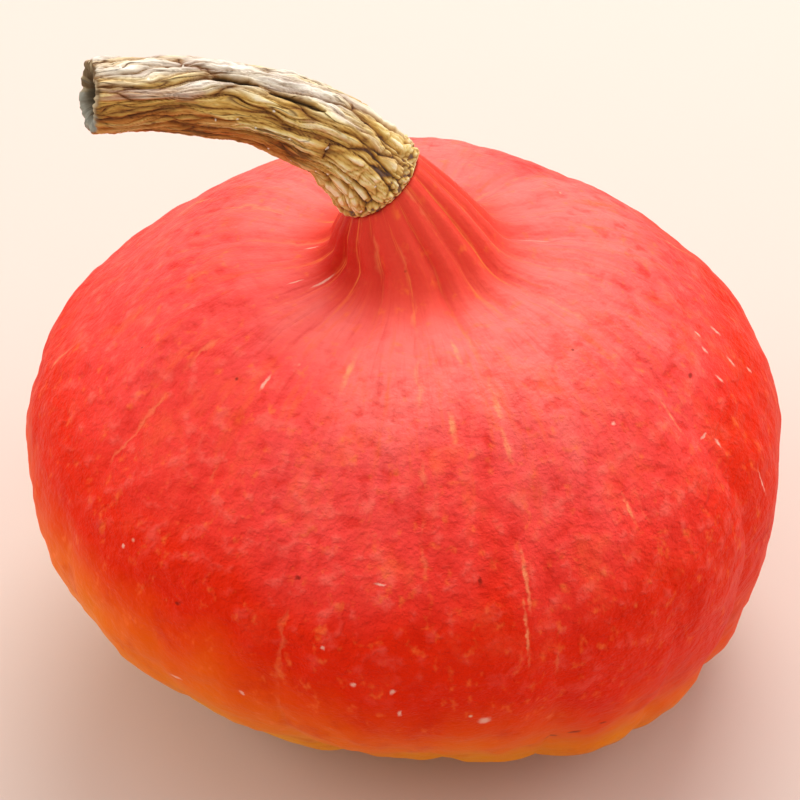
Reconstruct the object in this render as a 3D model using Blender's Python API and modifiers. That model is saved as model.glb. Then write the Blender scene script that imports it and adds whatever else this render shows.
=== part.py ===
"""Kabocha squash of the red kuri kind, with a dried stem.

The squash is broad and low, with shallow ribs that meet in creases.  It rises
to a small fluted neck that leans to one side, and a corky, furrowed stem grows
out of the neck and bends over towards -X.  It stands on a small flat ring
round its blossom scar.  Two solids: the fruit and the stem.
Run with: blender --background --python part.py
"""
import math

import bmesh
import bpy
from mathutils import Matrix, Vector, noise

# Driving dimensions, in metres unless the name says otherwise
MM = 0.001
GAP = 0.3 * MM                     # between the stem's foot and the neck

# Fruit: half outline, (radius, height) in millimetres, from the scar to the neck
OUTLINE = [(0, 3.6), (4, 3.2), (7.5, 2.4), (11, 0.2), (22, 0), (42, 3), (69.5, 14.5),
           (78, 31), (85.4, 56), (81.8, 77), (64, 96.6), (51.2, 106.6), (38, 111.8),
           (27.5, 112.9), (21, 114.4), (17.2, 118), (14.9, 122), (12.6, 126.3), (9.8, 131)]
RING_GAP = 6.2 * MM                # between two rings of the body's mesh
NECK_RING_GAP = 2.6 * MM
NECK_FOOT = 112 * MM               # height where the shoulder turns up into the neck
NECK_TOP = 131 * MM

RIBS = 18
RIB_TURN = math.radians(2)         # the first crease stands this far round from -Y
STEPS_PER_RIB = 5
WEAK_CREASE = 0.55                 # every second crease has this part of the depth
CREASE_SHARPNESS = 0.7             # 1 makes round valleys, less makes narrow creases
CREASE_DEPTH = [(0, 0), (6, 0.5), (20, 1.9), (40, 1.6), (60, 1.1), (85, 0.7),
                (106, 0.5), (112, 0.9), (116, 1.8), (122, 1.6), (127, 1), (131, 0.3)]    # height, depth, mm
LUMPS = [(42 * MM, 1.3 * MM), (17 * MM, 0.35 * MM)]                  # size, height

# The fruit grew a little crooked
GROUND_SPOT_DEPTH = 13.2 * MM      # the low front is flatter than the sides
GROUND_SPOT_TURN = math.radians(-8)
GROUND_SPOT_HALF_TURN = math.radians(50)
GROUND_SPOT_HEIGHT = 15.6 * MM
GROUND_SPOT_HALF_HEIGHT = 20 * MM
GROUND_SPOT_FADE = (20 * MM, 50 * MM)   # radii between which it starts
FOOT_SHIFT = 7.6 * MM              # the foot lies this far to +X of the shoulders
FOOT_SHIFT_FADE = (8 * MM, 60 * MM)     # heights between which the shift ends
BODY_LEAN = math.radians(0.7)      # the whole body leans over to +X
BODY_MIDDLE = 50 * MM              # height that it leans about
NECK_LEAN = math.radians(38.7)     # the neck leans back over to -X
NECK_SHIFT = [(0, 0), (80, 0), (98, 1.2), (112, 0.8), (118, -0.2), (122, -2), (126, -3.8), (131, -5.5)]  # height, shift, mm
REST_CUT = 0.5 * MM                # taken off the lowest ring, which rests

# Stem: centre line (x, y, z) from the middle of its foot, and (length, radius), mm
STEM_LINE = [(0, 0, 0), (-5.1, 0, 6.3), (-11.8, 0, 12.8), (-26.2, -1, 20.4),
             (-42.6, -4, 24.9), (-59, -9.1, 28.1)]
STEM_RADII = [(0, 9.2), (1.2, 9.9), (8, 9.1), (18, 8.5), (32, 7.7), (46, 7.5), (58, 7.1),
              (70, 7.3)]
STEM_SIDES = 64
STEM_RINGS = 42
CUT_END = [(0, 3.6), (0.4, 3.2), (0.62, 1.4), (0.8, 0.2), (0.95, 0)]  # radius part, depth mm
FURROWS = [(9, 1.0 * MM), (16, 0.55 * MM)]                            # count, depth
STEM_TWIST = math.radians(28)
# Torn clefts in the stem's upper face: distance along it, degrees round it, half
# length, half width in degrees, and depth, lengths in millimetres
CLEFTS = [(28, 66, 7.5, 11, 2.4), (38.5, 69, 6.5, 10, 2.2)]
WANDER = 0.35                      # radians that the furrows stray to either side
KNOBS = 0.8 * MM                   # height of the crumbly knobs, most at the foot


def rise(low, high, value):
    """0 below low, 1 above high and a smooth rise between them."""
    part = min(1.0, max(0.0, (value - low) / (high - low)))
    return part * part * (3 - 2 * part)


def between(table, value):
    """The value of a (position, value) table at a position, joined by straight lines."""
    for (low, start), (high, end) in zip(table, table[1:]):
        if value <= high:
            part = max(0.0, (value - low) / (high - low))
            return start + (end - start) * part
    return table[-1][1]


def smooth_line(knots, steps):
    """Points of a Catmull-Rom curve through the knots, steps to each span."""
    knots = [Vector(knot) for knot in knots]
    ends = [2 * knots[0] - knots[1]] + knots + [2 * knots[-1] - knots[-2]]
    points = []
    for a, b, c, d in zip(ends, ends[1:], ends[2:], ends[3:]):
        for step in range(steps):
            t = step / steps
            points.append(0.5 * (2 * b + (c - a) * t + (2 * a - 5 * b + 4 * c - d) * t * t
                                 + (3 * b - a - 3 * c + d) * t ** 3))
    return points + [knots[-1]]


def empty_scene():
    for thing in list(bpy.data.objects):
        bpy.data.objects.remove(thing)


def finish(name, color, roughness):
    material = bpy.data.materials.new(name)
    material.use_nodes = True
    shader = material.node_tree.nodes["Principled BSDF"]
    shader.inputs["Base Color"].default_value = (*color, 1)
    shader.inputs["Roughness"].default_value = roughness
    shader.inputs["Metallic"].default_value = 0
    return material


def turned(profile, steps):
    """A mesh turned round Z from (radius, height) points given top to bottom."""
    mesh = bpy.data.meshes.new("profile")
    bm = bmesh.new()
    points = [bm.verts.new((radius, 0, height)) for radius, height in profile]
    for start, end in zip(points, points[1:]):
        bm.edges.new((start, end))
    bm.to_mesh(mesh)
    bm.free()
    thing = bpy.data.objects.new("profile", mesh)
    bpy.context.scene.collection.objects.link(thing)
    screw = thing.modifiers.new("turn", "SCREW")
    screw.steps = steps
    screw.render_steps = steps
    screw.use_merge_vertices = True
    screw.merge_threshold = 0.00001
    evaluated = thing.evaluated_get(bpy.context.evaluated_depsgraph_get())
    solid = bpy.data.meshes.new_from_object(evaluated)
    bpy.data.objects.remove(thing)
    bpy.data.meshes.remove(mesh)
    return solid


def crease(turn, height):
    """How deep the creases are at a place on the fruit."""
    place = RIBS * (turn - RIB_TURN) / (2 * math.pi)
    off_centre = abs(math.sin(math.pi * place)) ** CREASE_SHARPNESS
    weak = round(place) % 2 == 0
    depth = between(CREASE_DEPTH, height / MM) * MM * (WEAK_CREASE if weak else 1)
    return depth * (1 - off_centre)


def skin_height(point):
    """How far the skin stands out from the turned shape at a point of it."""
    lumps = sum(high * noise.noise(point / size) for size, high in LUMPS)
    lumps *= rise(1 * MM, 25 * MM, point.z) * (1 - rise(NECK_FOOT, NECK_TOP, point.z))
    return lumps - crease(math.atan2(point.x, -point.y), point.z)


def ground_spot(point):
    """How far the low front is set back towards the middle."""
    turn = math.atan2(point.x, -point.y)
    aside = (turn - GROUND_SPOT_TURN) / GROUND_SPOT_HALF_TURN
    above = (point.z - GROUND_SPOT_HEIGHT) / GROUND_SPOT_HALF_HEIGHT
    spot = GROUND_SPOT_DEPTH * math.exp(-aside ** 2 - above ** 2)
    return spot * rise(*GROUND_SPOT_FADE, point.xy.length)


def settle(point):
    """Carry a point of the straight squash to where the crooked one has it."""
    lean = NECK_LEAN * min(1, max(0, (point.z - NECK_FOOT) / (NECK_TOP - NECK_FOOT))) ** 1.3
    x = between(NECK_SHIFT, point.z / MM) * MM + point.x * math.cos(lean)
    z = point.z + point.x * math.sin(lean)
    x += FOOT_SHIFT * (1 - rise(*FOOT_SHIFT_FADE, point.z))
    leaned = Matrix.Rotation(BODY_LEAN, 3, "Y") @ Vector((x, point.y, z - BODY_MIDDLE))
    leaned.z = max(0, leaned.z + BODY_MIDDLE - REST_CUT)
    return leaned


def ring_profile():
    """Points down the outline, one for each ring of the mesh, closer on the neck."""
    line = [Vector((max(0, radius), max(0, height))) * MM
            for radius, height in smooth_line(OUTLINE, 24)]
    picked = [line[0]]
    for point in line:
        gap = NECK_RING_GAP if point.y > NECK_FOOT or point.x < 12 * MM else RING_GAP
        if (point - picked[-1]).length >= gap:
            picked.append(point)
    if (picked[-1] - line[-1]).length < NECK_RING_GAP / 2:
        picked.pop()
    return [Vector((0, NECK_TOP)), line[-1]] + picked[::-1]


def make_fruit():
    mesh = turned(ring_profile(), RIBS * STEPS_PER_RIB)
    mesh.transform(Matrix.Rotation(RIB_TURN - math.pi / 2, 4, "Z"))
    places = []
    for vertex in mesh.vertices:
        out = vertex.normal.copy()
        out.z *= 1 - rise(NECK_FOOT, NECK_FOOT + 10 * MM, vertex.co.z)
        inward = -Vector((vertex.co.x, vertex.co.y, 0)).normalized()
        moved = vertex.co + out * skin_height(vertex.co) + inward * ground_spot(vertex.co)
        places.append(settle(moved))
    for vertex, place in zip(mesh.vertices, places):
        vertex.co = place
    return mesh


def cleft(along, turn):
    """Depth of the two torn clefts in the stem's upper face."""
    deep = 0
    for at, middle, half_length, half_width, depth in CLEFTS:
        aside = (math.degrees(turn) - middle) / half_width
        deep += depth * MM * math.exp(-((along / MM - at) / half_length) ** 4 - aside ** 2)
    return deep


def bark_height(turn, along, length):
    """How far the stem's cork stands out at an angle and a distance along it."""
    round_place = Vector((math.cos(turn), math.sin(turn), 0))
    wander = WANDER * noise.noise(round_place * 1.3 + Vector((0, 0, along / (16 * MM))))
    ridged = turn + STEM_TWIST * along / length + wander
    high = sum(depth * (abs(math.sin(count * ridged / 2)) ** 0.6 - 0.7)
               for count, depth in FURROWS)
    knobs = KNOBS * noise.noise(round_place * 3.2 + Vector((3, 5, along / (3 * MM))))
    high += knobs * (1 - 0.75 * rise(3 * MM, 9 * MM, along))
    return high * rise(-1 * MM, 2 * MM, along) - cleft(along, turn)


def stem_frame(line, distances, along, axis):
    """Centre of the stem at a distance along it, and its front, upper and forward axes."""
    span = max(i for i, reached in enumerate(distances[:-1]) if reached <= along)
    step = line[span + 1] - line[span]
    share = (along - distances[span]) / step.length
    ahead = step.normalized()
    if span > 0:
        behind = (line[span] - line[span - 1]).normalized()
        ahead = behind.lerp(ahead, 0.5 + share / 2).normalized()
    ahead = axis.lerp(ahead, rise(0, 6 * MM, along)).normalized()
    front = (Vector((0, -1, 0)) + ahead * ahead.y).normalized()
    return line[span] + step * share, front, ahead.cross(front)


def make_stem(foot, axis):
    """The stem from its foot, whose flat is square to the axis, to its hollow cut end."""
    line = [Vector(point) * MM for point in smooth_line(STEM_LINE, 12)]
    distances = [0]
    for start, end in zip(line, line[1:]):
        distances.append(distances[-1] + (end - start).length)
    length = distances[-1]
    side_length = length - 2 * MM
    profile = [(part, length - depth * MM) for part, depth in CUT_END]
    profile += [(1, length - 1 * MM - side_length * ring / STEM_RINGS)
                for ring in range(STEM_RINGS)]
    profile += [(1, 0), (0, 0)]
    rod_radius = 10 * MM
    mesh = turned([(part * rod_radius, height) for part, height in profile], STEM_SIDES)
    for vertex in mesh.vertices:
        along = vertex.co.z
        part = vertex.co.xy.length / rod_radius
        turn = math.atan2(vertex.co.y, vertex.co.x)
        centre, front, above = stem_frame(line, distances, along, axis)
        radius = between(STEM_RADII, along / MM) * MM + bark_height(turn, along, length)
        outward = front * math.cos(turn) + above * math.sin(turn)
        vertex.co = foot + centre + outward * radius * part
    return mesh


def add_part(name, mesh, material, collection):
    mesh.name = name
    mesh.shade_smooth()
    mesh.materials.append(material)
    thing = bpy.data.objects.new(name, mesh)
    collection.objects.link(thing)
    return thing


def centre_on_origin(parts):
    """Put the middle of the whole thing's box over the origin."""
    places = [vertex.co for part in parts for vertex in part.data.vertices]
    middle_x = (min(place.x for place in places) + max(place.x for place in places)) / 2
    middle_y = (min(place.y for place in places) + max(place.y for place in places)) / 2
    for part in parts:
        part.data.transform(Matrix.Translation((-middle_x, -middle_y, 0)))


empty_scene()
squash = bpy.data.collections.new("kabocha squash")
bpy.context.scene.collection.children.link(squash)

neck_axis = Matrix.Rotation(BODY_LEAN - NECK_LEAN, 3, "Y") @ Vector((0, 0, 1))
stem_foot = settle(Vector((0, 0, NECK_TOP))) + neck_axis * GAP
fruit = add_part("fruit", make_fruit(), finish("skin", (0.78, 0.07, 0.03), 0.4), squash)
stem = add_part("stem", make_stem(stem_foot, neck_axis),
                finish("cork", (0.42, 0.27, 0.12), 0.85), squash)
centre_on_origin([fruit, stem])
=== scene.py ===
# Kabocha squash of the red kuri kind, with its dried stem, on a pale floor.
# Each piece has a section of its own with its sizes, mesh, material and place.
import functools
import math

import bmesh
import bpy
import numpy as np
from mathutils import Matrix, Vector, noise


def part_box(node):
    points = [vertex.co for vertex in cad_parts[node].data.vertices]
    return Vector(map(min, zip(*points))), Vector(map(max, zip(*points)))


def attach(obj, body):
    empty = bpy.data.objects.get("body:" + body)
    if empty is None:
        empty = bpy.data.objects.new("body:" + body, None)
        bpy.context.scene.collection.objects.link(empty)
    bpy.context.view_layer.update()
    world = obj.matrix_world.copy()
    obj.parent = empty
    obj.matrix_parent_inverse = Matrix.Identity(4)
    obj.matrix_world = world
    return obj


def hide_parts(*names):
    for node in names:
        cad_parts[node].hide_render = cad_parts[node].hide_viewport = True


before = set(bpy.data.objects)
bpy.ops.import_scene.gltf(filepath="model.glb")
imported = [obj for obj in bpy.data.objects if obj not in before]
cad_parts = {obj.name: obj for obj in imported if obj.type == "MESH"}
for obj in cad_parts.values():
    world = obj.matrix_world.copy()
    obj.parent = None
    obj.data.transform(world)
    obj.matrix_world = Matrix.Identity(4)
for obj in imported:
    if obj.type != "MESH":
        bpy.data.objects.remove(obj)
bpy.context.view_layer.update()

MM = 0.001

# ---- Fruit -------------------------------------------------------------------
# The whole squash: one grown body of firm flesh under a thin waxy rind, with
# eighteen shallow ribs, a small fluted neck that leans over to -X, a corky
# blossom scar underneath, and a flatter, yellower spot where it lay on the soil.
# Half outline as (radius, height), and tables of (height, value), all in millimetres
OUTLINE = [(0, 3.6), (4, 3.2), (7.5, 2.4), (11, 0.2), (22, 0), (42, 3), (69.5, 14.5),
           (78, 31), (85.4, 56), (81.8, 77), (64, 96.6), (51.2, 106.6), (38, 111.8),
           (27.5, 112.9), (21, 114.4), (17.2, 118), (14.9, 122), (12.6, 126.3), (9.8, 131)]
CREASE_DEPTH = [(0, 0), (6, 0.5), (20, 1.9), (40, 1.6), (60, 1.1), (85, 0.7),
                (106, 0.5), (112, 0.9), (116, 1.8), (122, 1.6), (127, 1), (131, 0.3)]
NECK_SHIFT = [(0, 0), (80, 0), (98, 1.2), (112, 0.8), (118, -0.2), (122, -2), (126, -3.8),
              (131, -5.5)]
NECK_FOOT = 112 * MM          # height where the shoulder turns up into the neck
NECK_TOP = 131 * MM
RIBS = 18
RIB_TURN = math.radians(2)    # the first crease stands this far round from -Y
WEAK_CREASE = 0.55            # every second crease has this part of the depth
CREASE_SHARPNESS = 0.7        # 1 makes round valleys, less makes narrow creases
LUMPS = [(42 * MM, 1.3 * MM), (17 * MM, 0.35 * MM)]         # size, height
PUCKERS = [(7 * MM, 0.6 * MM), (3.4 * MM, 0.28 * MM)]       # size, height
COLUMNS = RIBS * 22           # of the mesh
RING_GAP = 0.96 * MM
BODY_LEAN = math.radians(0.7)
BODY_MIDDLE = 50 * MM         # height that it leans about
NECK_LEAN = math.radians(38.7)
FOOT_SHIFT = 7.6 * MM         # the foot lies this far to +X of the shoulders
REST_CUT = 0.5 * MM           # taken off the lowest ring, which rests
GRAIN_LENGTH = 100 * MM       # of a grain pattern's unit, from foot to neck
# The sides, turned from the front, of the hollow that grew against the soil, of the rind
# that lay near it, of the sunnier rind, of the deepest furrow and of the neck's flank that gets painted
# shade
HOLLOW_SIDE = math.radians(-8)
SOIL_SIDE = math.radians(-60)
SUN_SIDE = math.radians(72)
FURROW_SIDE = math.radians(58)
SHADED_FLANK_SIDE = math.radians(-62)


def rise(low, high, value):
    """0 below low, 1 above high and a smooth rise between them."""
    part = np.clip((value - low) / (high - low), 0, 1)
    return part * part * (3 - 2 * part)


def bell(value, middle, half_width):
    """1 at the middle of a soft bump and 0 well away from it."""
    return np.exp(-((value - middle) / half_width) ** 2)


def between(table, value):
    """Values of a (position, value) table in millimetres at positions in metres."""
    places, values = zip(*table)
    return np.interp(np.asarray(value) / MM, places, values) * MM


def smooth_line(knots, steps):
    """Points of a Catmull-Rom curve through the knots, steps to each span, in metres."""
    knots = np.array(knots, float) * MM
    ends = np.vstack([2 * knots[0] - knots[1], knots, 2 * knots[-1] - knots[-2]])
    t = (np.arange(steps) / steps)[:, None]
    spans = [0.5 * (2 * b + (c - a) * t + (2 * a - 5 * b + 4 * c - d) * t * t
                    + (3 * b - a - 3 * c + d) * t ** 3)
             for a, b, c, d in zip(ends, ends[1:], ends[2:], ends[3:])]
    return np.vstack(spans + [knots[-1:]])


def lengths_along(line):
    """How far along a line each of its points lies."""
    return np.concatenate([[0], np.cumsum(np.linalg.norm(np.diff(line, axis=0), axis=1))])


def evenly(line, gap):
    """Points a gap apart along a line of points."""
    lengths = lengths_along(line)
    places = np.linspace(0, lengths[-1], round(lengths[-1] / gap) + 1)
    return np.stack([np.interp(places, lengths, line[:, axis]) for axis in range(line.shape[1])], 1)


def turned(name, profile, steps):
    """A closed mesh spun round Z from (radius, height) points, with its middle lines shut."""
    bm = bmesh.new()
    points = [bm.verts.new((0, -radius, height)) for radius, height in profile]
    edges = [bm.edges.new(pair) for pair in zip(points, points[1:])]
    bmesh.ops.spin(bm, geom=points + edges, cent=(0, 0, 0), axis=(0, 0, 1),
                   angle=math.tau, steps=steps, use_merge=True)
    bmesh.ops.remove_doubles(bm, verts=bm.verts, dist=1e-7)
    bmesh.ops.recalc_face_normals(bm, faces=bm.faces)
    mesh = bpy.data.meshes.new(name)
    bm.to_mesh(mesh)
    bm.free()
    mesh.shade_smooth()
    return mesh


def read(collection, field):
    """A mesh collection's vectors as an array."""
    values = np.zeros(len(collection) * 3, np.float32)
    collection.foreach_get(field, values)
    return values.reshape(-1, 3).astype(float)


def place_points(mesh, points):
    """Move a mesh's points to new places."""
    mesh.vertices.foreach_set("co", points.astype(np.float32).ravel())
    mesh.update()


def keep(mesh, name, values):
    """Store a number or a vector for each point of the mesh, for its material."""
    kind, field = ("FLOAT", "value") if values.ndim == 1 else ("FLOAT_VECTOR", "vector")
    layer = mesh.attributes.new(name, kind, "POINT")
    layer.data.foreach_set(field, values.astype(np.float32).ravel())


def rough(points, size, shift=(0, 0, 0)):
    """Smooth noise from -1 to 1 at points, with features of a size."""
    return np.array([noise.noise(Vector(point)) for point in points / size + np.array(shift)])


def around(turn, along):
    """Vectors for patterns that go round a piece without a seam."""
    return np.stack([np.sin(turn), -np.cos(turn), along], 1)


def add_piece(name, mesh, node, material):
    """A visible piece that covers a node of the part, in a slot's material."""
    piece = bpy.data.objects.new(name, mesh)
    bpy.context.scene.collection.objects.link(piece)
    mesh.materials.append(material)
    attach(piece, "root")
    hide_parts(node)


def settle(points):
    """Carry points of the straight squash to where the crooked one has them."""
    x, y, z = points.T
    lean = NECK_LEAN * np.clip((z - NECK_FOOT) / (NECK_TOP - NECK_FOOT), 0, 1) ** 1.3
    foot_shift = FOOT_SHIFT * (1 - rise(8 * MM, 60 * MM, z))
    out = np.stack([between(NECK_SHIFT, z) + foot_shift + x * np.cos(lean), y,
                    z + x * np.sin(lean) - BODY_MIDDLE], 1)
    out = out @ np.array(Matrix.Rotation(BODY_LEAN, 3, "Y")).T
    out[:, 2] = np.maximum(0, out[:, 2] + BODY_MIDDLE - REST_CUT)
    return out


# Marks on the rind: turn from the front in degrees, height, half width and half height in mm
VEIN_MARKS = [(-19, 111.3, 0.7, 5.5), (16, 112.4, 0.6, 4), (9, 106.5, 0.8, 3.5),
              (21, 107.7, 0.9, 3), (20.2, 103.6, 0.7, 4), (18.2, 85, 0.55, 7),
              (17.8, 76, 0.45, 8), (39, 89.2, 0.5, 4), (-88, 84, 0.5, 4), (58, 96, 0.5, 5),
              (112, 96, 0.7, 9), (140, 78, 0.6, 9), (172, 101, 0.7, 6), (-124, 100, 0.6, 8)]
CORK_MARKS = [(-4, 86, 1.3, 0.4), (-2, 66, 0.6, 0.7), (-1, 60, 0.5, 1.1), (-12, 74, 0.6, 0.6),
              (-7, 67, 0.6, 0.6), (-35, 52, 1.7, 0.5), (-23, 57, 0.7, 0.7), (-46, 78, 0.5, 0.5),
              (11, 56, 1.4, 1.2), (63, 90, 1.1, 0.4), (65, 87, 0.5, 1.3), (69, 74, 0.35, 3.5),
              (45, 101, 0.6, 0.5), (-38, 108, 0.4, 2), (88, 94, 0.4, 2), (84, 90, 0.5, 1.8),
              (80, 96, 0.4, 1.3), (87, 85, 0.5, 1.1), (77, 92, 0.4, 1.5), (83, 98, 0.4, 1.1),
              (-92, 114.3, 0.25, 2), (-60, 114, 0.28, 3), (-66, 113, 0.22, 2),
              (100, 113, 0.4, 4.5), (128, 60, 1.4, 0.9), (165, 88, 0.6, 1.5),
              (-130, 72, 1.2, 0.6), (-160, 50, 0.9, 0.9)]
DARK_MARKS = [(11, 86, 0.5, 0.9), (70, 97, 0.8, 0.7), (-17, 85, 0.7, 0.7), (-34, 74, 0.7, 0.6),
              (22, 37, 1.8, 1.1), (26, 38, 1.6, 0.8), (30, 40, 0.8, 0.5), (-75, 46, 0.8, 0.7),
              (110, 58, 1.5, 1), (-150, 90, 0.7, 0.7)]


def fruit_mesh():
    """The fruit's mesh with its patterns, how far it was moved, and its marks' places."""
    line = evenly(np.maximum(smooth_line(OUTLINE, 40), 0), RING_GAP)
    top = [(radius, NECK_TOP) for radius in (9 * MM, 7 * MM, 4 * MM, 0)]
    mesh = turned("fruit", list(line) + top, COLUMNS)
    mesh.transform(Matrix.Rotation(RIB_TURN, 4, "Z"))
    points = read(mesh.vertices, "co")
    out = read(mesh.vertex_normals, "vector")
    height = points[:, 2]
    radius = np.hypot(points[:, 0], points[:, 1])
    turn = np.arctan2(points[:, 0], -points[:, 1])
    rise_angle = np.arctan2(line[:, 1] - BODY_MIDDLE, line[:, 0])
    along = np.interp(np.arctan2(height - BODY_MIDDLE, radius), rise_angle, lengths_along(line))

    # Ribs, broad lumps, puckers of the rind, and the fine lines that run to the neck
    place = RIBS * (turn - RIB_TURN) / math.tau
    weak = np.where(np.round(place) % 2 == 0, WEAK_CREASE, 1)
    sharpness = CREASE_SHARPNESS + 0.6 * rise(106 * MM, 116 * MM, height)
    valley = 1 - np.abs(np.sin(np.pi * place)) ** sharpness
    on_body = rise(1 * MM, 25 * MM, height) * (1 - rise(NECK_FOOT, NECK_TOP, height))
    furrowed = bell(turn, FURROW_SIDE, math.radians(16)) * (1 - rise(85 * MM, 100 * MM, height))
    stand = -between(CREASE_DEPTH, height) * weak * valley * (1 + 0.9 * furrowed)
    for size, high in LUMPS:
        stand += high * rough(points, size) * on_body
    quieter = 1 - 0.25 * rise(55 * MM, 105 * MM, height)
    for size, high in PUCKERS:
        puckers = rough(points, size, (7, 3, 1))
        stand += high * puckers * on_body * quieter
    neckward = rise(82 * MM, 110 * MM, height) * (1 - 0.65 * rise(111 * MM, 117 * MM, height))
    stand += 0.2 * MM * rough(around(turn, along / (24 * MM)) * (14, 14, 1), 1) * neckward
    stand += 0.09 * MM * rough(around(turn, along / (14 * MM)) * (34, 34, 1), 1) * neckward
    out[:, 2] *= 1 - rise(NECK_FOOT, NECK_FOOT + 10 * MM, height)

    # The hollow low in front
    hollow = 13.2 * MM * bell(turn, HOLLOW_SIDE, math.radians(50)) * bell(height, 15.6 * MM, 20 * MM)
    hollow *= rise(20 * MM, 50 * MM, radius)
    moved = settle(points + out * stand[:, None] - around(turn, 0 * turn) * hollow[:, None])

    low_corner, high_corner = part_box("fruit")
    shift = (np.array(low_corner + high_corner) - moved.max(0) - moved.min(0)) / 2
    shift[2] = 0
    place_points(mesh, moved + shift)

    # Where the rind ripened less: the underside, higher up on the soil side, lower on the other
    soil = bell(turn, SOIL_SIDE, math.radians(46)) * (1 - 0.5 * rise(58 * MM, 90 * MM, height))
    sunny = bell(turn, SUN_SIDE, math.radians(50)) * (1 - rise(50 * MM, 85 * MM, height))
    wave = 7 * MM * rough(points, 26 * MM, (2, 0, 5))
    wave += 5 * MM * rough(around(turn, along / (360 * MM)) * 9, 1)
    ripeness_and_sheen = height + wave - soil * 18 * MM + sunny * 17 * MM
    # Past the deepest furrow the colour is pulled to the orange-red of 57 mm, with less of the painted
    # sheen that the rind's colour has higher up
    beyond = rise(FURROW_SIDE, FURROW_SIDE + 0.2, turn) * (1 - rise(2, 2.6, turn))
    beyond *= rise(5 * MM, 30 * MM, height) * (1 - rise(78 * MM, 104 * MM, height))
    keep(mesh, "ripeness_and_sheen", (ripeness_and_sheen + 0.75 * beyond * (57 * MM - ripeness_and_sheen)) / MM)
    keep(mesh, "height", height / MM)
    keep(mesh, "neckward", neckward)
    keep(mesh, "puckers", puckers)
    keep(mesh, "crease_side", np.sin(np.pi * place) * 2 / RIBS * radius / MM)
    # Painted shade on the neck's left flank, under the overhanging stem
    flank = bell(turn, SHADED_FLANK_SIDE, math.radians(38))
    keep(mesh, "flank_shade", flank * rise(112 * MM, 117 * MM, height))
    keep(mesh, "neck_red", (1 - rise(17 * MM, 30 * MM, radius)) * rise(100 * MM, 110 * MM, height))
    grain = around(turn, along / GRAIN_LENGTH)
    keep(mesh, "grain", grain)

    def marks(places):
        """Middles and scales, on the grain, of the marks at turns and heights."""
        usual_radius_squared = 0.007
        for face, level, half_width, half_height in places:
            away = ((turn - math.radians(face)) ** 2 * usual_radius_squared
                    + (height - level * MM) ** 2)
            nearest = np.argmin(away)
            across = radius[nearest] / (half_width * MM)
            upright = GRAIN_LENGTH / (half_height * MM)
            yield Vector(grain[nearest]), Vector((across, across, upright))

    return mesh, shift, list(marks(VEIN_MARKS)), list(marks(CORK_MARKS)), list(marks(DARK_MARKS))


def color(code):
    """An sRGB hex colour as linear red, green, blue and alpha."""
    parts = [int(code[i:i + 2], 16) / 255 for i in (1, 3, 5)]
    return (*[part / 12.92 if part < 0.04045 else ((part + 0.055) / 1.055) ** 2.4
              for part in parts], 1)


def add(tree, kind, inputs=None, out=0, stops=(), **settings):
    """Add a node with its settings, links and colour stops, and give one of its outputs."""
    made = tree.nodes.new("ShaderNode" + kind)
    for name, value in settings.items():
        setattr(made, name, value)
    for socket, value in (inputs or {}).items():
        if isinstance(value, bpy.types.NodeSocket):
            tree.links.new(value, made.inputs[socket])
        else:
            made.inputs[socket].default_value = color(value) if isinstance(value, str) else value
    for index, (position, code) in enumerate(stops):
        ramp = made.color_ramp.elements
        stop = ramp[index] if index < len(ramp) else ramp.new(position)
        stop.position = position
        stop.color = color(code)
    return made.outputs[out]


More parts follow.
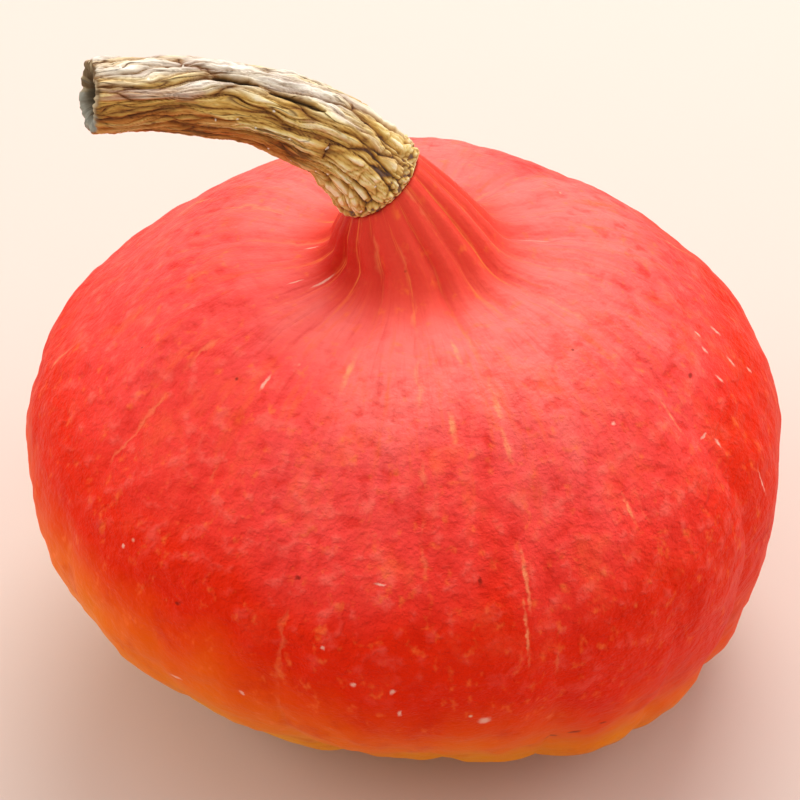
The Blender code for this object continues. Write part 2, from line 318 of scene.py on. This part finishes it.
def rind():
    """Waxed cucurbit rind: semi-matt and finely puckered, red skin over yellow flesh."""
    material = bpy.data.materials.new("waxy_rind")
    material.use_nodes = True
    node = functools.partial(add, material.node_tree)
    shader = material.node_tree.nodes["Principled BSDF"]
    smooth = {"interpolation_type": "SMOOTHSTEP"}
    blend = {"data_type": "RGBA", "out": 2}
    spot = node("TexCoord", out="Object")
    grain = node("Attribute", out="Vector", attribute_name="grain")
    ripeness_and_sheen = node("Attribute", out="Fac", attribute_name="ripeness_and_sheen")
    height = node("Attribute", out="Fac", attribute_name="height")
    neckward = node("Attribute", out="Fac", attribute_name="neckward")
    puckers = node("Attribute", out="Fac", attribute_name="puckers")
    side = node("Attribute", out="Fac", attribute_name="crease_side")
    flank = node("Attribute", out="Fac", attribute_name="flank_shade")
    neck_red = node("Attribute", out="Fac", attribute_name="neck_red")

    # Ripening: yellow-orange under the foot, deep red on the belly, coral above, in mm
    # The coral-pink above is partly wax bloom and partly painted sheen of the light from above
    part = node("MapRange", {0: ripeness_and_sheen, 1: 0, 2: 131})
    skin = node("ValToRGB", {0: part}, stops=[
        (0, "#f2a61c"), (0.2, "#ef880b"), (0.31, "#ee6602"), (0.4, "#e84200"), (0.48, "#e32200"),
        (0.57, "#e82408"), (0.68, "#f6413b"), (0.77, "#f8504d"), (0.84, "#f97069"), (1, "#f76d66")])
    red = node("Math", {0: neck_red, 1: 0.85}, operation="MULTIPLY")
    skin = node("Mix", {0: red, 6: skin, 7: "#ea3e2a"}, **blend)

    # Cloudy mottling of the red under the wax; a painted pink highlight on the crests of the puckers and
    # painted shade in their troughs
    cloud = node("TexNoise", {"Vector": spot, "Scale": 1 / (11 * MM), "Detail": 5, "Roughness": 0.66})
    off_neck = node("MapRange", {0: height, 1: 116, 2: 108}, **smooth)
    belly = node("MapRange", {0: ripeness_and_sheen, 1: 52, 2: 95}, **smooth)
    belly = node("Math", {0: belly, 1: off_neck}, operation="MULTIPLY")
    drawn = node("Mapping", {"Vector": spot, "Scale": (1, 1, 1.15)})
    fine = node("TexNoise", {"Vector": drawn, "Scale": 1 / (2.3 * MM), "Detail": 3, "Roughness": 0.58})
    relief = node("MapRange", {0: fine, 3: -1, 4: 1})
    relief = node("Math", {0: relief, 1: puckers}, operation="ADD")
    crest_highlight = node("MapRange", {0: relief, 1: 0.05, 2: 0.85, 4: 0.55}, **smooth)
    crest_highlight = node("Math", {0: crest_highlight, 1: belly}, operation="MULTIPLY")
    skin = node("Mix", {0: crest_highlight, 6: skin, 7: "#ff7263"}, **blend)
    trough_shade = node("MapRange", {0: relief, 1: -0.05, 2: -0.85, 4: 0.55}, **smooth)
    trough_shade = node("Math", {0: trough_shade, 1: belly}, operation="MULTIPLY")
    skin = node("Mix", {0: trough_shade, 6: skin, 7: "#d81a0c"}, **blend)
    paler = node("MapRange", {0: cloud, 1: 0.5, 2: 0.78, 4: 0.7}, **smooth)
    paler = node("Math", {0: paler, 1: belly}, operation="MULTIPLY")
    skin = node("Mix", {0: paler, 6: skin, 7: "#fd5f3c"}, **blend)
    deeper = node("MapRange", {0: cloud, 1: 0.5, 2: 0.27, 4: 0.4}, **smooth)
    deeper = node("Math", {0: deeper, 1: off_neck}, operation="MULTIPLY")
    skin = node("Mix", {0: deeper, 6: skin, 7: "#cc0e00"}, **blend)

    # Soft pale flecks, 1 to 2 mm across
    drawn = node("Mapping", {"Vector": spot, "Scale": (1, 1, 0.75)})
    fleck = node("TexNoise", {"Vector": drawn, "Scale": 1 / (2.7 * MM), "Detail": 2.5, "Roughness": 0.55})
    fleck = node("MapRange", {0: fleck, 1: 0.56, 2: 0.82}, **smooth)
    above_foot = node("MapRange", {0: height, 1: 14, 2: 60, 4: 0.55}, **smooth)
    fleck = node("Math", {0: fleck, 1: above_foot}, operation="MULTIPLY")
    skin = node("Mix", {0: fleck, 6: skin, 7: "#ff7a38"}, **blend)

    # Broken streaks that run down from the neck
    drawn = node("Mapping", {"Vector": grain, "Scale": (21, 21, 7)})
    streak = node("TexNoise", {"Vector": drawn, "Scale": 1, "Detail": 3, "Roughness": 0.62})
    pale = node("MapRange", {0: streak, 1: 0.5, 2: 0.8, 4: 0.6}, **smooth)
    pale = node("Math", {0: pale, 1: neckward}, operation="MULTIPLY")
    skin = node("Mix", {0: pale, 6: skin, 7: "#fb6338"}, **blend)
    dark = node("MapRange", {0: streak, 1: 0.5, 2: 0.22, 4: 0.4}, **smooth)
    dark = node("Math", {0: dark, 1: neckward}, operation="MULTIPLY")
    skin = node("Mix", {0: dark, 6: skin, 7: "#d21a10"}, **blend)
    # Painted shade: the neck's left flank, under the overhanging stem, is darkened to deep red
    flank = node("Math", {0: flank, 1: 0.85}, operation="MULTIPLY")
    skin = node("Mix", {0: flank, 6: skin, 7: "#c01006"}, **blend)

    # Pale vein in each crease: a row of short, uneven, speckled dashes
    beads = node("Mapping", {"Vector": grain, "Location": (5.3, 2.9, 4), "Scale": (3.4, 3.4, 7)})
    dashes = node("TexNoise", {"Vector": beads, "Scale": 1, "Detail": 2})
    dashes = node("MapRange", {0: dashes, 1: 0.57, 2: 0.72}, **smooth)
    speckle = node("TexNoise", {"Vector": spot, "Scale": 1 / (2.2 * MM), "Detail": 3})
    width = node("MapRange", {0: speckle, 1: 0.36, 2: 0.68, 3: 0.4, 4: 1.5})
    stray = node("TexNoise", {"Vector": spot, "Scale": 1 / (5 * MM), "Detail": 2})
    stray = node("MapRange", {0: stray, 1: 0.25, 2: 0.75, 3: -0.9, 4: 0.9})
    stray = node("Math", {0: stray, 1: side}, operation="ADD")
    stray = node("Math", {0: stray}, operation="ABSOLUTE")
    line = node("MapRange", {0: stray, 1: width, 2: 0}, **smooth)
    vein = node("Math", {0: line, 1: dashes}, operation="MULTIPLY")
    on_body = node("MapRange", {0: height, 1: 50, 2: 90, 3: 0.15, 4: 0.3}, **smooth)
    vein = node("Math", {0: vein, 1: on_body}, operation="MULTIPLY")
    skin = node("Mix", {0: vein, 6: skin, 7: "#ff9d66"}, **blend)
    on_neck = node("MapRange", {0: height, 1: 110, 2: 117, 4: 0.75}, **smooth)
    kept = node("MapRange", {0: streak, 1: 0.47, 2: 0.66}, **smooth)
    near = node("Math", {0: side}, operation="ABSOLUTE")
    line = node("MapRange", {0: near, 1: 1, 2: 0}, **smooth)
    line = node("Math", {0: line, 1: on_neck}, operation="MULTIPLY")
    line = node("Math", {0: line, 1: kept}, operation="MULTIPLY")
    skin = node("Mix", {0: line, 6: skin, 7: "#fb8544"}, **blend)

    # Cork specks of 0.5 to 1 mm, a few of them dark
    dots = node("TexVoronoi", {"Vector": spot, "Scale": 1 / (7 * MM)})
    pick = node("SeparateColor", {0: dots.node.outputs["Color"]})
    size = node("Math", {0: pick.node.outputs[1], 1: 0.1}, operation="MULTIPLY")
    dot = node("MapRange", {0: dots, 1: size, 2: 0}, **smooth)
    tan = node("Math", {0: pick, 1: 0.88}, operation="GREATER_THAN")
    tan = node("Math", {0: tan, 1: dot}, operation="MULTIPLY")
    skin = node("Mix", {0: tan, 6: skin, 7: "#f2c3a0"}, **blend)
    dark = node("Math", {0: pick, 1: 0.03}, operation="LESS_THAN")
    dark = node("Math", {0: dark, 1: dot}, operation="MULTIPLY")
    skin = node("Mix", {0: dark, 6: skin, 7: "#5a1a12"}, **blend)

    # Healed scratches and scabs of cork with ragged edges, and darker scabs
    frayed = node("TexNoise", {"Vector": spot, "Scale": 1 / (1.1 * MM), "Detail": 3}, out="Color")
    frayed = node("VectorMath", {0: frayed, 1: (0.5, 0.5, 0.5)}, operation="SUBTRACT")
    frayed = node("VectorMath", {0: frayed, 1: (0.015, 0.015, 0.012)}, operation="MULTIPLY")
    frayed = node("VectorMath", {0: frayed, 1: grain}, operation="ADD")
    thin = node("MapRange", {0: speckle, 1: 0.36, 2: 0.6, 3: 0.1, 4: 0.75})
    for places, mark_color, most in ((vein_marks, "#ff9a68", thin), (cork_marks, "#f5b8a4", 0.8),
                                     (dark_marks, "#84190f", 0.8)):
        for centre, scale in places:
            mark = node("Mapping", {"Vector": frayed, "Scale": scale, "Location": -centre * scale})
            mark = node("VectorMath", {0: mark}, out="Value", operation="LENGTH")
            mark = node("MapRange", {0: mark, 1: 1.3, 2: 0.3, 4: most}, **smooth)
            skin = node("Mix", {0: mark, 6: skin, 7: mark_color}, **blend)

    # Corky blossom scar under the foot
    middle = (fruit_shift[0] + FOOT_SHIFT, fruit_shift[1], 0)
    scar = node("VectorMath", {0: spot, 1: middle}, out="Value", operation="DISTANCE")
    scar = node("MapRange", {0: scar, 1: 9 * MM, 2: 6 * MM}, **smooth)
    crumbs = node("TexNoise", {"Vector": spot, "Scale": 1 / (1.2 * MM), "Detail": 4})
    cork = node("Mix", {0: crumbs, 6: "#5e4024", 7: "#cfab7d"}, **blend)
    skin = node("Mix", {0: scar, 6: skin, 7: cork}, **blend)
    material.node_tree.links.new(skin, shader.inputs["Base Color"])

    # Wax is worn unevenly, so the gloss varies
    worn = node("TexNoise", {"Vector": spot, "Scale": 1 / (5 * MM), "Detail": 4})
    gloss = node("MapRange", {0: worn, 3: 0.44, 4: 0.62})
    gloss = node("Mix", {0: scar, 2: gloss, 3: 0.85}, data_type="FLOAT")
    material.node_tree.links.new(gloss, shader.inputs["Roughness"])
    shader.inputs["IOR"].default_value = 1.45
    shader.inputs["Specular IOR Level"].default_value = 0.18
    shader.inputs["Specular Tint"].default_value = color("#ffba88")

    # Fine leathery puckers of 1 to 2 mm, weaker on the shoulders and the smooth foot
    weaker = node("MapRange", {0: neckward, 3: 1, 4: 0.7})
    foot = node("MapRange", {0: ripeness_and_sheen, 1: 45, 2: 75, 3: 0.3, 4: 1}, **smooth)
    strength = node("Math", {0: weaker, 1: foot}, operation="MULTIPLY")
    off_neck = node("MapRange", {0: off_neck, 3: 0.3})
    strength = node("Math", {0: strength, 1: off_neck}, operation="MULTIPLY")
    bump = node("Bump", {"Height": fine, "Strength": strength, "Distance": 1.3 * MM})
    strength = node("Math", {0: neckward, 1: 0.5}, operation="MULTIPLY")
    bump = node("Bump", {"Height": streak, "Strength": strength, "Distance": 0.5 * MM, "Normal": bump})
    material.node_tree.links.new(bump, shader.inputs["Normal"])
    return material


fruit_body, fruit_shift, vein_marks, cork_marks, dark_marks = fruit_mesh()
add_piece("squash_fruit", fruit_body, "fruit", rind())

# ---- Stem --------------------------------------------------------------------
# The fruit stalk, dried to cork: ropy strands with sharp gaps between them that
# run along it, torn clefts on top, a crumbly swollen foot on the neck, and a
# hollow cut end.  Sun and rain bleached its upper side, the underside is browner.
# Centre line (x, y, z) from the middle of its foot, and (length, radius), in millimetres
STEM_LINE = [(0, 0, 0), (-5.1, 0, 6.3), (-11.8, 0, 12.8), (-26.2, -1, 20.4),
             (-42.6, -4, 24.9), (-59, -9.1, 28.1)]
STEM_RADII = [(0, 9.2), (1.2, 9.9), (8, 9.1), (18, 8.5), (32, 7.7), (46, 7.5), (58, 7.1),
              (70, 7.3)]
STEM_SIDES = 286
STEM_RING_GAP = 0.224 * MM
STEM_TWIST = math.radians(28)
ROD = 10 * MM                 # radius of the straight rod that the stem is bent from
CUT_END = [(0, 4.5), (0.32, 4.2), (0.46, 2.8), (0.57, 1), (0.68, 0.35), (0.84, 0), (0.96, 0.2),
           (1, 0.9)]          # part of the radius, depth in mm
# Distance along the stem, degrees round it, half length, half width in degrees, depth; mm
CLEFTS = [(27.5, 57, 6, 6, 1.3), (40, 65, 5, 6.5, 1.3)]


def cell_gaps(points):
    """How far each point is inside its cell of a scattered pattern, 0 at a cell's edge."""
    nearest = [noise.voronoi(Vector(point))[0] for point in points]
    return np.array([pair[1] - pair[0] for pair in nearest])


def grains(points):
    """Round grains scattered over points: 1 on a grain's crown and 0 between them."""
    nearest = np.array([noise.voronoi(Vector(point))[0][0] for point in points])
    return np.sqrt(np.clip(1 - (nearest / 0.62) ** 2, 0, 1))


def cord(gap, width):
    """Height of a round cord over a cell pattern: 0 in the gaps and 1 on its crest."""
    part = np.clip(gap / width, 0, 1)
    return np.sqrt(1 - (1 - part) ** 2)


def bark(turn, along, length):
    """The cork at places on the stem: how far it stands out, a relief value that is low in its
    gaps and clefts for painted shade and high on its crests, how much of a cleft it is, and the turn of
    its strands."""
    ring = np.stack([np.cos(turn), np.sin(turn), 0 * turn], 1)

    def at(scale, size, shift=0.0):
        """Places for a pattern with a number of cells round the stem and a length along it."""
        return ring * scale + np.stack([0 * along + shift, 0 * along, along / size + shift], 1)

    foot = 1 - rise(6 * MM, 22 * MM, along)
    run = along + 12 * MM * (1 - np.exp(-along / (9 * MM)))          # shorter strands at the foot
    wander = 0.2 * rough(at(1.3, 16 * MM), 1) + 0.1 * rough(at(2.4, 7 * MM, 4), 1)
    wander += 0.04 * rough(at(5, 3.5 * MM, 2), 1)
    ridged = turn + STEM_TWIST * along / length + wander
    high = 0.45 * MM * (np.abs(np.sin(9 * ridged / 2)) ** 0.6 - 0.7)

    def strands(scale, size, shift):
        """The same for a pattern that follows the wandering strands."""
        return np.stack([np.cos(ridged) * scale + shift, np.sin(ridged) * scale, run / size + shift], 1)


    # Ropes about 4 mm thick, the cords they are made of, and the fibres of those
    foot_gaps = 0.04 * foot * (1 + rough(at(3, 4 * MM, 8), 1))
    ropes = cord(cell_gaps(strands(2.4, 26 * MM, 2)) - foot_gaps, 0.45)
    cords = cord(cell_gaps(strands(6, 22 * MM, 4)), 0.4)
    fibres = cord(cell_gaps(strands(13, 11 * MM, 6)), 0.5)
    high += (0.9 + 0.5 * foot) * MM * (ropes - 0.55)
    high += (0.6 - 0.3 * foot) * MM * (cords - 0.6)
    high += (0.32 - 0.2 * foot) * MM * (fibres - 0.7)
    upper = rise(0.3, 0.9, np.sin(turn) + 0.5 * rough(at(2, 9 * MM, 5), 1)) * (1 - foot)
    flakes = rise(-0.04, 0.04, rough(strands(3, 11 * MM, 1), 1))
    high += 0.3 * MM * (flakes - 0.5) * upper

    # Crumbs in a band at the rim of the foot, lumps above them, and a grain all over
    rim_band = (3.6 + 2.4 * np.sin(turn - 0.1)) * MM
    crumbly = 1 - rise(0.35, 1, along / rim_band + 0.35 * rough(at(3, 3 * MM, 1), 1))
    crumbs = grains(at(11, 0.9 * MM, 3))
    high += 0.65 * MM * (crumbs - 0.4) * crumbly
    high += 0.5 * MM * rough(at(3.2, 3.4 * MM, 3), 1) * (0.45 + 0.55 * foot)
    lumped = np.stack([np.cos(ridged) * 3.9 + 9, np.sin(ridged) * 3.9, along / (4.4 * MM) + 9], 1)
    lumps = cord(cell_gaps(lumped + 0.12 * rough(at(7, 2 * MM, 9), 1)[:, None]), 0.4)
    high += 0.75 * MM * (lumps - 0.6) * foot
    high += 0.16 * MM * rough(at(9, 1.4 * MM, 7), 1)
    high += 0.2 * MM * rough(at(13, 0.75 * MM, 5), 1) * (0.35 + 0.65 * foot)
    high += 0.07 * MM * rough(at(22, 2.5 * MM, 1), 1)
    # The colour follows this relief value: dark in the gaps between ropes, cords, lumps and crumbs as
    # painted shade, palest on their crests partly as painted highlight
    relief_shade = ropes * (0.25 + 0.75 * cords) * (0.55 + 0.45 * np.maximum(fibres, foot))
    relief_shade = relief_shade * (1 - foot) + foot * (0.1 + relief_shade) * (0.35 + 0.75 * lumps)
    relief_shade = relief_shade * (1 - crumbly) + (0.15 + 0.8 * crumbs) * crumbly

    # Torn clefts that reach in under a steep, ragged, lifted upper lip
    deep, torn = 0 * along, 0 * along
    ragged = 0.35 * rough(at(5, 2.5 * MM, 6), 1)
    for middle, face, half_length, half_width, depth in CLEFTS:
        reach = np.sqrt(np.clip(1 - ((along / MM - middle) / half_length) ** 2, 0.01, 1))
        across = ((turn - math.radians(face)) / math.radians(half_width) + ragged) / reach
        slot = rise(-1.2, 0.5, across) * (1 - rise(0.85, 1.15, across)) * rise(0.1, 0.3, reach)
        lip = np.exp(-((across - 1.45) / 0.35) ** 2) * reach
        deep += depth * MM * (slot * reach - 0.2 * lip)
        high -= slot * 0.6 * high
        # Inside a cleft the relief value is lowest near the upper lip: a painted shadow under it
        relief_shade = relief_shade * (1 - slot) + slot * (0.6 - 0.6 * rise(-0.7, 0.7, across))
        torn = np.maximum(torn, slot)
    return high * rise(-1 * MM, 2 * MM, along) - deep, relief_shade, torn, ridged


def stem_mesh(foot, axis):
    """The stem from its foot, whose flat is square to the axis, to its hollow cut end."""
    line = smooth_line(STEM_LINE, 60)
    distances = lengths_along(line)
    length = distances[-1]
    rim = [(part * ROD, length - depth) for part, depth in evenly(np.array(CUT_END) * (1, MM), 0.03)]
    start = rim[-1][1]
    rings = round(start / STEM_RING_GAP)
    side = [(ROD, start * (rings - ring) / rings) for ring in range(1, rings + 1)]
    base = [(0.8 * ROD, 0), (0.5 * ROD, 0), (0, 0)]
    mesh = turned("stem", (rim + side + base)[::-1], STEM_SIDES)
    points = read(mesh.vertices, "co")
    part = np.hypot(points[:, 0], points[:, 1]) / ROD
    turn = np.arctan2(points[:, 1], points[:, 0])
    along = points[:, 2]
    centre = np.stack([np.interp(along, distances, line[:, k]) for k in range(3)], 1)
    steps = np.gradient(line, distances, axis=0)
    ahead = np.stack([np.interp(along, distances, steps[:, k]) for k in range(3)], 1)
    ahead = np.array(axis) + (ahead - np.array(axis)) * rise(0, 6 * MM, along)[:, None]
    ahead /= np.linalg.norm(ahead, axis=1)[:, None]
    front = np.array((0, -1, 0)) + ahead * ahead[:, 1:2]
    front /= np.linalg.norm(front, axis=1)[:, None]
    above = np.cross(ahead, front)
    high, relief_shade, cleft, ridged = bark(turn, along, length)
    side_way = front * np.cos(turn)[:, None] + above * np.sin(turn)[:, None]
    radius = (between(STEM_RADII, along) + high * (0.25 + 0.75 * rise(0.8, 1, part))) * part
    torn = rough(np.stack([np.cos(turn) * 2.3, np.sin(turn) * 2.3, part * 3], 1), 1)
    torn += 0.6 * rough(np.stack([np.cos(turn) * 7, np.sin(turn) * 7, part * 5], 1), 1)
    torn *= 0.9 * MM * rise(length - 6 * MM, length, along) * rise(0.2, 0.7, part)
    place_points(mesh, np.array(foot) + centre + side_way * radius[:, None] + ahead * torn[:, None])
    keep(mesh, "relief_shade", relief_shade)
    keep(mesh, "cleft", cleft)
    keep(mesh, "along", along / MM)
    keep(mesh, "from_middle", part)
    keep(mesh, "upward", side_way[:, 2])
    keep(mesh, "strand", np.stack([np.cos(ridged) * 8 * MM, np.sin(ridged) * 8 * MM, along], 1))
    return mesh


def dried_cork():
    """Dried, weathered cork: dead matt and fibrous, pale on its crests partly as painted highlight, and
    dark in its gaps as painted shade.
    """
    material = bpy.data.materials.new("dried_cork")
    material.use_nodes = True
    node = functools.partial(add, material.node_tree)
    shader = material.node_tree.nodes["Principled BSDF"]
    smooth = {"interpolation_type": "SMOOTHSTEP"}
    blend = {"data_type": "RGBA", "out": 2}
    strand = node("Attribute", out="Vector", attribute_name="strand")
    relief_shade = node("Attribute", out="Fac", attribute_name="relief_shade")
    cleft = node("Attribute", out="Fac", attribute_name="cleft")
    along = node("Attribute", out="Fac", attribute_name="along")
    middle = node("Attribute", out="Fac", attribute_name="from_middle")
    upward = node("Attribute", out="Fac", attribute_name="upward")
    pulled = node("Mapping", {"Vector": strand, "Scale": (1, 1, 0.16)})
    broad = node("TexNoise", {"Vector": pulled, "Scale": 1 / (3 * MM), "Detail": 3, "Distortion": 0.4})
    fibre = node("TexNoise", {"Vector": pulled, "Scale": 1 / (0.5 * MM), "Detail": 4, "Roughness": 0.65})
    tint = node("MapRange", {0: fibre, 3: -0.38, 4: 0.38})
    tint = node("Math", {0: tint, 1: relief_shade}, operation="ADD", use_clamp=True)

    # Golden crests, partly painted highlight, over gaps dark with painted shade, rustier below, and
    # bleached grey-white on top
    cork = node("ValToRGB", {0: tint}, stops=[
        (0, "#4b290e"), (0.12, "#88531f"), (0.3, "#b78639"), (0.5, "#d8ac56"),
        (0.8, "#efd48c"), (1, "#fdeec4")])
    rust = node("MapRange", {0: broad, 1: 0.49, 2: 0.56, 4: 0.9}, **smooth)
    past_foot = node("MapRange", {0: along, 1: 10, 2: 24, 3: 0.2}, **smooth)
    rust = node("Math", {0: rust, 1: past_foot}, operation="MULTIPLY")
    rusty = node("ValToRGB", {0: tint}, stops=[
        (0, "#3a1a08"), (0.16, "#7c410f"), (0.45, "#b2661e"), (1, "#dba356")])
    cork = node("Mix", {0: rust, 6: cork, 7: rusty}, **blend)
    lean = node("MapRange", {0: broad, 3: -0.7, 4: 0.7})
    weather = node("Math", {0: upward, 1: lean}, operation="ADD")
    below = node("MapRange", {0: weather, 1: 0, 2: -0.6, 4: 0.9}, **smooth)
    below = node("Math", {0: below, 1: past_foot}, operation="MULTIPLY")
    cork = node("Mix", {0: below, 6: cork, 7: rusty}, **blend)
    bleach = node("MapRange", {0: weather, 1: 0.4, 2: 0.95, 4: 0.85}, **smooth)
    up_stem = node("MapRange", {0: along, 1: 6, 2: 22, 3: 0.3}, **smooth)
    bleach = node("Math", {0: bleach, 1: up_stem}, operation="MULTIPLY")
    on_crest = node("MapRange", {0: tint, 1: 0.1, 2: 0.45, 3: 0.35}, **smooth)
    bleach = node("Math", {0: bleach, 1: on_crest}, operation="MULTIPLY")
    grey = node("ValToRGB", {0: tint}, stops=[
        (0, "#42301f"), (0.12, "#75604e"), (0.3, "#b09e8d"), (0.6, "#ded1c2"), (1, "#faf4ea")])
    cork = node("Mix", {0: bleach, 6: cork, 7: grey}, **blend)
    # Grey-lilac in the gaps of the relief near the foot
    foot_gaps = node("MapRange", {0: tint, 1: 0.32, 2: 0.04, 4: 0.85}, **smooth)
    near_foot = node("MapRange", {0: along, 1: 16, 2: 6}, **smooth)
    foot_gaps = node("Math", {0: foot_gaps, 1: near_foot}, operation="MULTIPLY")
    cork = node("Mix", {0: foot_gaps, 6: cork, 7: "#6e5850"}, **blend)

    # Fine dark cracks along the strands
    drawn = node("Mapping", {"Vector": strand, "Scale": (1, 1, 0.09)})
    crack = node("TexNoise", {"Vector": drawn, "Scale": 1 / (1.3 * MM), "Detail": 0.5})
    crack = node("MapRange", {0: crack, 3: -1, 4: 1})
    crack = node("Math", {0: crack}, operation="ABSOLUTE")
    crack = node("MapRange", {0: crack, 1: 0.07, 2: 0}, **smooth)
    worn = node("MapRange", {0: broad, 1: 0.4, 2: 0.55, 3: 0.85, 4: 0.25}, **smooth)
    shown = node("Math", {0: crack, 1: worn}, operation="MULTIPLY")
    shown = node("Math", {0: shown, 1: past_foot}, operation="MULTIPLY")
    cork = node("Mix", {0: shown, 6: cork, 7: "#6a3f1a"}, **blend)

    # Clefts: shadowed under the upper lip, tan on the floor
    hollow = node("ValToRGB", {0: relief_shade}, stops=[(0, "#3a2712"), (0.25, "#8a6836"), (0.6, "#c2a262")])
    cork = node("Mix", {0: cleft, 6: cork, 7: hollow}, **blend)

    # Tiny pale crumbs caught on the cork
    dots = node("TexVoronoi", {"Vector": strand, "Scale": 1 / (2.6 * MM)})
    pick = node("SeparateColor", {0: dots.node.outputs["Color"]})
    crumb = node("MapRange", {0: dots, 1: 0.14, 2: 0.09}, **smooth)
    chosen = node("Math", {0: pick, 1: 0.82}, operation="GREATER_THAN")
    crumb = node("Math", {0: crumb, 1: chosen}, operation="MULTIPLY")
    cork = node("Mix", {0: crumb, 6: cork, 7: "#f5ead8"}, **blend)

    # Cut end: brown and bluish-grey rim round dark pith
    pith = node("ValToRGB", {0: middle}, stops=[
        (0, "#1d160d"), (0.44, "#32281a"), (0.56, "#5c4d33"), (0.72, "#8a7757"),
        (0.86, "#b9a582"), (0.97, "#8c6534")])
    cut = node("MapRange", {0: middle, 1: 1, 2: 0.93}, **smooth)
    at_tip = node("Math", {0: along, 1: 20}, operation="GREATER_THAN")
    cut = node("Math", {0: cut, 1: at_tip}, operation="MULTIPLY")
    crust = node("TexNoise", {"Vector": strand, "Scale": 1 / (3.5 * MM), "Detail": 3})
    crust = node("MapRange", {0: crust, 1: 0.5, 2: 0.56, 4: 0.8}, **smooth)
    pith = node("Mix", {0: crust, 6: pith, 7: "#5f4422"}, **blend)
    lower = node("MapRange", {0: weather, 1: -0.05, 2: -0.25, 4: 0.7}, **smooth)
    outer = node("MapRange", {0: middle, 1: 0.5, 2: 0.75}, **smooth)
    lower = node("Math", {0: lower, 1: outer}, operation="MULTIPLY")
    pith = node("Mix", {0: lower, 6: pith, 7: "#8f938b"}, **blend)
    cork = node("Mix", {0: cut, 6: cork, 7: pith}, **blend)
    material.node_tree.links.new(cork, shader.inputs["Base Color"])
    shader.inputs["Roughness"].default_value = 0.75
    shader.inputs["Specular IOR Level"].default_value = 0.35
    bump = node("Bump", {"Height": fibre, "Strength": 0.8, "Distance": 0.22 * MM})
    bump = node("Bump", {"Height": shown, "Strength": 0.7, "Distance": 0.3 * MM, "Normal": bump},
                invert=True)
    material.node_tree.links.new(bump, shader.inputs["Normal"])
    return material


neck_axis = Matrix.Rotation(BODY_LEAN - NECK_LEAN, 3, "Y") @ Vector((0, 0, 1))
neck_centre = Vector(settle(np.array([[0, 0, NECK_TOP]]))[0]) + Vector(fruit_shift)
gap = 0.3 * MM                # between the neck and the foot of the stem
stem_body = stem_mesh(neck_centre + neck_axis * gap, neck_axis)
add_piece("squash_stem", stem_body, "stem", dried_cork())

# ---- Floor -------------------------------------------------------------------
# A plain pale matt sheet, so wide that its edges stay out of sight.
floor_mesh = bpy.data.meshes.new("floor")
bm = bmesh.new()
bmesh.ops.create_grid(bm, x_segments=1, y_segments=1, size=6)
bm.to_mesh(floor_mesh)
bm.free()
floor = bpy.data.objects.new("floor", floor_mesh)
bpy.context.scene.collection.objects.link(floor)
paper = bpy.data.materials.new("matt_paper")
paper.use_nodes = True
paper_shader = paper.node_tree.nodes["Principled BSDF"]
paper_shader.inputs["Base Color"].default_value = color("#dbc9be")
paper_shader.inputs["Roughness"].default_value = 0.95
paper_shader.inputs["Specular IOR Level"].default_value = 0.1
floor_mesh.materials.append(paper)

# ---- Light -------------------------------------------------------------------
# A soft window above and behind, weaker light from overhead and both sides, pale room.


def soft_light(name, place, size, power):
    """A round soft light of a size and power that shines at the squash."""
    light = bpy.data.lights.new(name, "AREA")
    light.shape = "DISK"
    light.size = size
    light.energy = power
    lamp = bpy.data.objects.new(name, light)
    bpy.context.scene.collection.objects.link(lamp)
    lamp.location = place
    lamp.rotation_euler = (Vector((0, 0, 0.05)) - Vector(place)).to_track_quat("-Z", "Y").to_euler()


soft_light("window", (0.15, 0.8, 1.0), 1.0, 11)
soft_light("ceiling", (0, 0.1, 1.4), 1.6, 4)
soft_light("left", (-1.1, 0, 0.7), 0.9, 4.6)
soft_light("right", (1.1, 0, 0.7), 0.9, 3.6)
world = bpy.data.worlds.new("room")
world.use_nodes = True
world.node_tree.nodes["Background"].inputs[0].default_value = color("#fffbf7")
world.node_tree.nodes["Background"].inputs[1].default_value = 0.62
bpy.context.scene.world = world
bpy.context.scene.view_settings.view_transform = "Standard"

# ---- Camera ------------------------------------------------------------------
# It looks down at the squash from the front, at about 40 degrees.
camera_target = Vector((-1 * MM, 0, 71.2 * MM))
camera_rise = math.radians(40)
camera_distance = 650 * MM
camera_data = bpy.data.cameras.new("camera")
camera_data.lens = 130.5
camera_data.clip_start = 0.01
camera = bpy.data.objects.new("camera", camera_data)
bpy.context.scene.collection.objects.link(camera)
camera_way = Vector((0, -math.cos(camera_rise), math.sin(camera_rise)))
camera.location = camera_target + camera_distance * camera_way
camera.rotation_euler = (camera_target - camera.location).to_track_quat("-Z", "Y").to_euler()
bpy.context.scene.camera = camera
